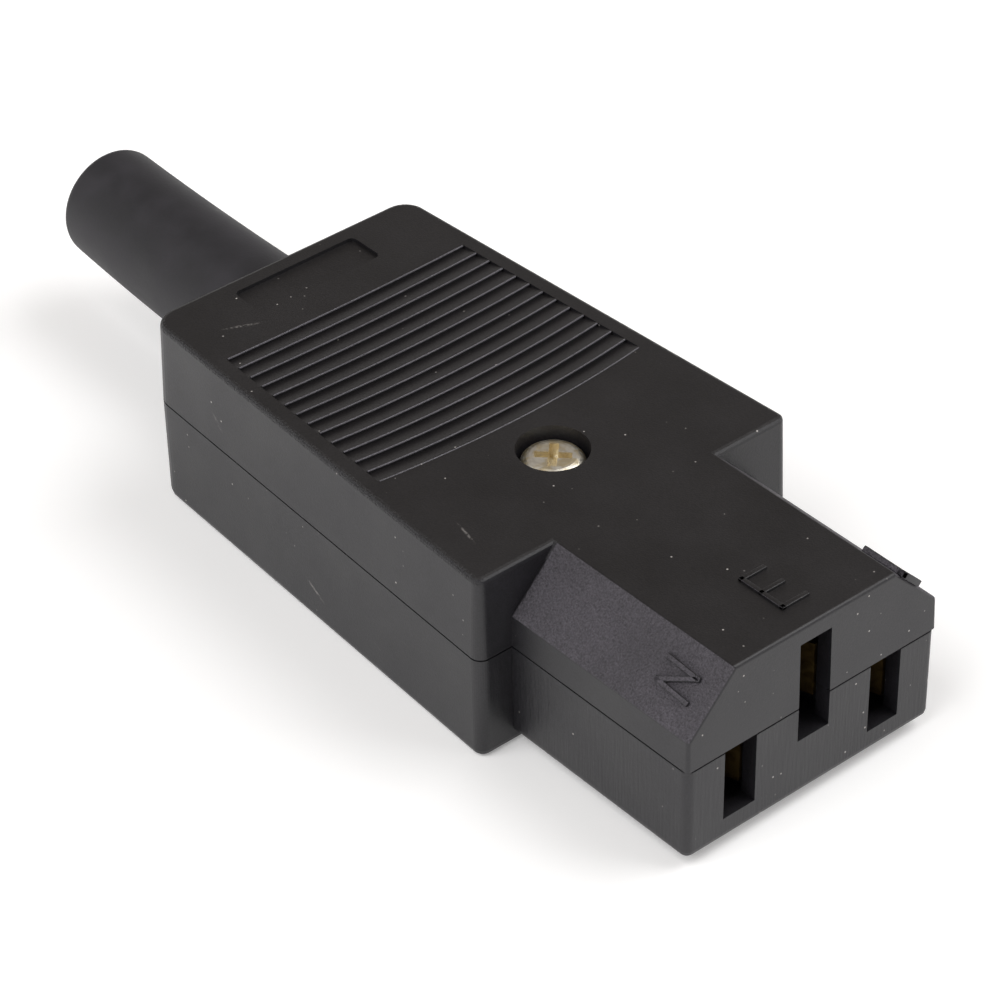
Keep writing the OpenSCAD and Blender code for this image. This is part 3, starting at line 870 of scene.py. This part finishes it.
@dataclass
class Housing:
    """The two moulded shells, with the raised pole letters and the burr of the grip crests."""

    back: float = -17.8
    front: float = 23.9
    top: float = 16.2
    back_half: float = 12.85
    front_half: float = 15.1
    bevel_foot: float = 11.8
    nose_half: float = 12.0
    nose_top_half: float = 7.7
    split: float = 9.0
    crest_lines: int = 14
    crest_pitch: float = 1.49
    crest_start: float = 8.45
    crest_margin: float = 1.8
    crest_radius: float = 0.075
    crest_sink: float = 0.35  # the share of that radius that the burr's axis lies below the top
    crest_sides: int = 8
    crest_steps: int = 48
    bow_first: float = 0.2
    bow_last: float = 0.85
    # The crests' pale grey is a painted highlight that draws them as thin bright lines.
    crest_highlight_colour: str = "#4B494F"
    crest_roughness: float = 0.3
    scratches: tuple[Scratch, ...] = (
        Scratch((-9.0, -13.4, 11.6), (1.0, 0.0, -0.9), 2.6, 0.5, 0.35),
        Scratch((2.6, -14.0, 12.5), (1.0, 0.0, -0.8), 1.7, 0.25, 0.6),
        Scratch((11.0, -14.5, 2.7), (1.0, 0.0, -0.4), 2.4, 0.3, 0.5),
        Scratch((3.2, -14.0, 3.0), (1.0, 0.0, -0.5), 3.4, 0.35, 0.45),
        Scratch((14.2, -14.7, 5.2), (1.0, 0.0, -0.1), 3.0, 0.3, 0.35),
        Scratch((15.2, -14.7, 14.9), (1.0, 0.0, 0.3), 0.6, 0.25, 0.5),
        Scratch((18.8, -11.8, 16.2), (1.0, -0.2, 0.0), 3.4, 0.28, 0.3),
        Scratch((-2.4, 10.3, 16.2), (0.4, 1.0, 0.0), 0.9, 0.2, 0.5),
        Scratch((-2.5, -4.5, 16.2), (1.0, 0.7, 0.0), 1.4, 0.14, 0.4),
        Scratch((-12.1, -8.1, 16.2), (0.45, 1.0, 0.0), 3.4, 0.35, 0.35),
    )

    def build(self) -> None:
        """Dresses the shells and makes what stands proud of them."""
        plastic = MouldedNylon(
            body_front=self.front, bevel_foot=self.bevel_foot, split=self.split, scratches=self.scratches
        ).build()
        dress("upper_shell", plastic)
        dress("lower_shell", plastic)
        self.letters(plastic)
        # Handling polishes the crests, so they are a little glossier; their pale grey colour is a painted
        # highlight that draws them as thin bright lines.
        painted_highlight = MouldedNylon(
            name="black_nylon_66_painted_highlight_crest",
            top_colour=self.crest_highlight_colour,
            side_colour=self.crest_highlight_colour,
            top_roughness=self.crest_roughness,
            side_roughness=self.crest_roughness,
        ).build()
        self.crests(painted_highlight)

    def letters(self, plastic: bpy.types.Material) -> None:
        """Makes the three pole letters.

        Args:
            plastic: the shells' plastic.
        """
        fall, spread = self.bevel_foot - self.top, self.nose_half - self.nose_top_half
        PoleLetter(
            Pole.EARTH,
            origin=(35.6, -0.85, self.top),
            across=(0.0, 1.0, 0.0),
            down=(1.0, 0.0, 0.0),
            strokes=((0.0, 0.0, 0.0, 4.1), (0.0, 0.0, 2.0, 0.0), (0.0, 2.0, 1.9, 2.0), (0.0, 4.1, 2.2, 4.1)),
        ).build(plastic)
        PoleLetter(
            Pole.NEUTRAL,
            origin=(37.2, -self.nose_top_half, self.top),
            across=(1.0, 0.0, 0.0),
            down=(0.0, -spread, fall),
            strokes=((0.0, 1.95, 3.0, 2.1), (3.0, 2.1, 0.1, 3.7), (0.1, 3.7, 3.2, 3.9)),
        ).build(plastic)
        PoleLetter(
            Pole.LINE,
            origin=(38.6, self.nose_top_half, self.top),
            across=(1.0, 0.0, 0.0),
            down=(0.0, spread, fall),
            strokes=((0.0, 0.9, 3.4, 0.9), (3.4, 0.9, 3.4, 2.9)),
            width=0.6,
            proud=0.45,
        ).build(plastic)

    def half_width(self, x: float) -> float:
        """Half the body's width at a place along it."""
        share = (x - self.back) / (self.front - self.back)
        return self.back_half + (self.front_half - self.back_half) * share

    def crests(self, plastic: bpy.types.Material) -> None:
        """Makes the fine burr that the mould leaves along each bowed grip crest, in a pale colour that is a
        painted highlight.

        Args:
            plastic: the crests' material, whose pale grey is a painted highlight.
        """
        mesh = bmesh.new()
        height = self.top - self.crest_radius * self.crest_sink
        for line in range(self.crest_lines):
            x = self.back + self.crest_start + line * self.crest_pitch
            reach = self.half_width(x) - self.crest_margin
            bow = self.bow_first + (self.bow_last - self.bow_first) * line / (self.crest_lines - 1)
            rings = []
            for step in range(self.crest_steps + 1):
                y = -reach + 2 * reach * step / self.crest_steps
                middle = Vector((x + bow * (1 - (y / reach) ** 2), y, height))
                ring = []
                for side in range(self.crest_sides):
                    turn = 2 * math.pi * side / self.crest_sides
                    offset = Vector((math.cos(turn), 0.0, math.sin(turn))) * self.crest_radius
                    ring.append(mesh.verts.new(middle + offset))
                rings.append(ring)
            bridge(mesh, rings)
            mesh.faces.new(rings[0])
            mesh.faces.new(rings[-1])
        make_piece("grip_crests", mesh, plastic)


@dataclass
class CordEntry:
    """The rubber boot that the cord leaves through. With no cord in it, its free end strays off the axis."""

    node: str = "cord_boot"
    back: float = -17.8
    axis_height: float = 9.0
    reach: float = 24.5
    root_radius: float = 5.16
    tip_radius: float = 4.74
    bore: float = 3.7
    mouth_bevel: float = 0.3
    end_rounding: float = 0.9
    rounding_turn: int = 10  # degrees from one point of the rounding to the next
    collar_radius: float = 5.6
    collar_length: float = 0.9
    seat_radius: float = 5.2
    flange_start: float = 2.15
    flange_end: float = 3.95
    flange_radius: float = 6.4
    spigot_radius: float = 4.9
    rise: float = 0.25
    sway: float = 0.65
    sides: int = 72
    steps: int = 16

    def profile(self, inner_end: float) -> list[tuple[float, float]]:
        """Draws half of the boot's section.

        Args:
            inner_end: where the boot ends inside the shells, measured from their back face.

        Returns:
            Places along the axis from the back face, each with its radius, once round the section.
        """
        free = -self.reach
        turns = [math.radians(turn) for turn in range(180, 90 - 1, -self.rounding_turn)]
        rounding = [
            (
                free + self.end_rounding * (1 + math.cos(turn)),
                self.tip_radius - self.end_rounding * (1 - math.sin(turn)),
            )
            for turn in turns
        ]
        start, end = rounding[-1][0], -self.collar_length - self.collar_radius + self.root_radius
        tube = [
            (
                start + (end - start) * step / self.steps,
                self.tip_radius + (self.root_radius - self.tip_radius) * step / self.steps,
            )
            for step in range(1, self.steps + 1)
        ]
        seat = [
            (-self.collar_length, self.collar_radius),
            (0.0, self.collar_radius),
            (0.0, self.seat_radius),
            (self.flange_start, self.seat_radius),
            (self.flange_start, self.flange_radius),
            (self.flange_end, self.flange_radius),
            (self.flange_end, self.spigot_radius),
            (inner_end, self.spigot_radius),
            (inner_end, self.bore),
        ]
        mouth = free + self.mouth_bevel
        passage = [(mouth * step / self.steps, self.bore) for step in range(self.steps + 1)]
        return [*rounding, *tube, *seat, *passage, (free, self.bore + self.mouth_bevel)]

    def build(self) -> None:
        """Makes the boot as one turned mesh that stands for the CAD boot."""
        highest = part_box(self.node)[1]
        mesh = bmesh.new()
        rings = []
        for along, radius in self.profile(highest[0] / MM - self.back):
            bend = (max(0.0, -along) / self.reach) ** 2
            ring = []
            for side in range(self.sides):
                turn = 2 * math.pi * side / self.sides
                point = (
                    self.back + along,
                    self.sway * bend + radius * math.cos(turn),
                    self.axis_height + self.rise * bend + radius * math.sin(turn),
                )
                ring.append(mesh.verts.new(point))
            rings.append(ring)
        bridge(mesh, [*rings, rings[0]])
        boot = make_piece("boot_tube", mesh, BootRubber().build())
        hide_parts(self.node)


@dataclass
class CaseFixing:
    """The recessed case screw and its trapped nut."""

    def build(self) -> None:
        """Dresses the screw and the nut."""
        # Zinc with a yellow chromate: bright, softly glossy, with a straw tint here and there.
        plated = PlatedMetal("zinc_plated_steel_yellow", "#FBF6E8", "#EBDCB8", 0.36).build()
        dress("case_screw", plated)
        dress("case_nut", plated)


@dataclass
class Terminals:
    """The folded spring contacts, their wire clamps and screws, closed inside the shells."""

    contacts: tuple[str, ...] = ("line_contact", "neutral_contact", "earth_contact")
    clamps: tuple[str, ...] = ("line_wire_clamp", "neutral_wire_clamp", "earth_wire_clamp")

    def build(self) -> None:
        """Dresses the metalwork of the three poles."""
        # Rolled brass strip, aged: a dull yellow-brown that hardly shows in the slots.
        brass = PlatedMetal("rolled_brass_strip", "#5A4A2C", "#463820", 0.5).build()
        # Bright zinc plate on pressed steel: cool grey.
        steel = PlatedMetal("zinc_plated_steel_bright", "#B9BCC0", "#A3A6AB", 0.32).build()
        for node in self.contacts:
            dress(node, brass)
        for node in (*self.clamps, "terminal_screws"):
            dress(node, steel)


@dataclass
class CordGrip:
    """The strap that holds the cord down on its saddle, with its two screws."""

    def build(self) -> None:
        """Dresses the strap and its screws."""
        dress("cord_clamp_strap", MouldedNylon(name="natural_black_nylon_strap").build())
        # Bright zinc plate on hardened steel: cool grey, a little glossier than on the pressed parts.
        steel = PlatedMetal("zinc_plated_thread_former", "#B9BCC0", "#A3A6AB", 0.3).build()
        dress("cord_clamp_screws", steel)


@dataclass
class Softbox:
    """One square soft light. Its distance and side are in metres, and its power is in watts."""

    name: str
    towards: Point
    distance: float = 1.3
    side: float = 0.9
    power: float = 9.5

    def build(self, aim: Vector) -> None:
        """Sets the light up.

        Args:
            aim: the point in metres that it faces.
        """
        data = bpy.data.lights.new(self.name, "AREA")
        data.shape = "SQUARE"
        data.size = self.side
        data.energy = self.power
        lamp = bpy.data.objects.new(self.name, data)
        bpy.context.scene.collection.objects.link(lamp)
        way = Vector(self.towards).normalized()
        lamp.location = aim + way * self.distance
        lamp.rotation_euler = way.to_track_quat("Z", "Y").to_euler()


@dataclass
class Studio:
    """The pale floor, the room, the soft lights and the camera, whose angles are in degrees."""

    azimuth: float = 50.218
    elevation: float = 37.417
    roll: float = -1.058
    distance: float = 295.234
    target: Point = (9.225, -0.647, 8.0)
    lens: float = 141.902
    sensor: float = 36.0
    clip: Span = (10.0, 20000.0)
    floor_side: float = 4000.0
    floor_gap: float = 0.02
    floor_cells: int = 8
    ceiling: float = 0.22
    ceiling_colour: str = "#FBF1EA"
    horizon: float = 0.85
    horizon_colour: str = "#FFFFFF"
    glow_edge: Span = (0.5, 0.02)  # sines of the angles where the glow ends and where it is full
    boxes: tuple[Softbox, ...] = (
        Softbox("softbox_over_nose", (0.35, 0.5, 0.79)),
        Softbox("softbox_near_side", (0.0, -0.6, 0.8)),
    )

    def build(self) -> None:
        """Builds the whole set round the object."""
        self.floor()
        self.room()
        for box in self.boxes:
            box.build(Vector(self.target) * MM)
        self.camera()

    def floor(self) -> None:
        """Lays the white floor."""
        mesh = bmesh.new()
        cells = self.floor_cells
        bmesh.ops.create_grid(mesh, x_segments=cells, y_segments=cells, size=self.floor_side * MM / 2)
        data = bpy.data.meshes.new("studio_floor")
        mesh.to_mesh(data)
        mesh.free()
        data.materials.append(SweepPaper().build())
        floor = bpy.data.objects.new("studio_floor", data)
        floor.location.z = -self.floor_gap * MM
        bpy.context.scene.collection.objects.link(floor)

    def room(self) -> None:
        """Surrounds the set with a dim warm ceiling above a bright horizon."""
        world = bpy.data.worlds.new("studio_room")
        world.use_nodes = True
        bpy.context.scene.world = world
        tree = world.node_tree
        tree.nodes.clear()
        coords = add_node(tree, "ShaderNodeTexCoord")
        height = add_node(tree, "ShaderNodeSeparateXYZ", {0: coords.outputs["Generated"]}).outputs["Z"]
        glow = mask_where(tree, [(height, *self.glow_edge)])
        colour = add_node(
            tree,
            "ShaderNodeMix",
            {
                "Factor": glow,
                COLOUR_A: linear(self.ceiling_colour),
                COLOUR_B: linear(self.horizon_colour),
            },
            data_type="RGBA",
        ).outputs[COLOUR_OUT]
        strength = add_node(
            tree, "ShaderNodeMix", {"Factor": glow, VALUE_A: self.ceiling, VALUE_B: self.horizon}
        ).outputs[VALUE_OUT]
        background = add_node(tree, "ShaderNodeBackground", {"Color": colour, "Strength": strength})
        add_node(tree, "ShaderNodeOutputWorld", {"Surface": background.outputs[0]})
        bpy.context.scene.view_settings.view_transform = "Standard"

    def camera(self) -> None:
        """Stands the camera at the viewing angle, looking a little down on the nose."""
        data = bpy.data.cameras.new("studio_camera")
        data.sensor_width = self.sensor
        data.lens = self.lens
        data.clip_start, data.clip_end = (limit * MM for limit in self.clip)
        camera = bpy.data.objects.new("studio_camera", data)
        bpy.context.scene.collection.objects.link(camera)
        turn, rise, lean = map(math.radians, (self.azimuth, self.elevation, self.roll))
        back = Vector((math.sin(turn) * math.cos(rise), -math.cos(turn) * math.cos(rise), math.sin(rise)))
        right = Vector((math.cos(turn), math.sin(turn), 0.0))
        up = right.cross(-back)
        rolled_right = right * math.cos(lean) + up * math.sin(lean)
        rolled_up = up * math.cos(lean) - right * math.sin(lean)
        axes = Matrix((rolled_right, rolled_up, back)).transposed().to_4x4()
        place = (Vector(self.target) + back * self.distance) * MM
        camera.matrix_world = Matrix.Translation(place) @ axes
        bpy.context.scene.camera = camera


def main() -> None:
    """Builds the dressed connector and its studio, in order."""
    logging.basicConfig(level=logging.INFO, format="%(name)s %(message)s")
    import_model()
    Housing().build()
    CordEntry().build()
    CaseFixing().build()
    Terminals().build()
    CordGrip().build()
    Studio().build()


if __name__ == "__main__":
    main()
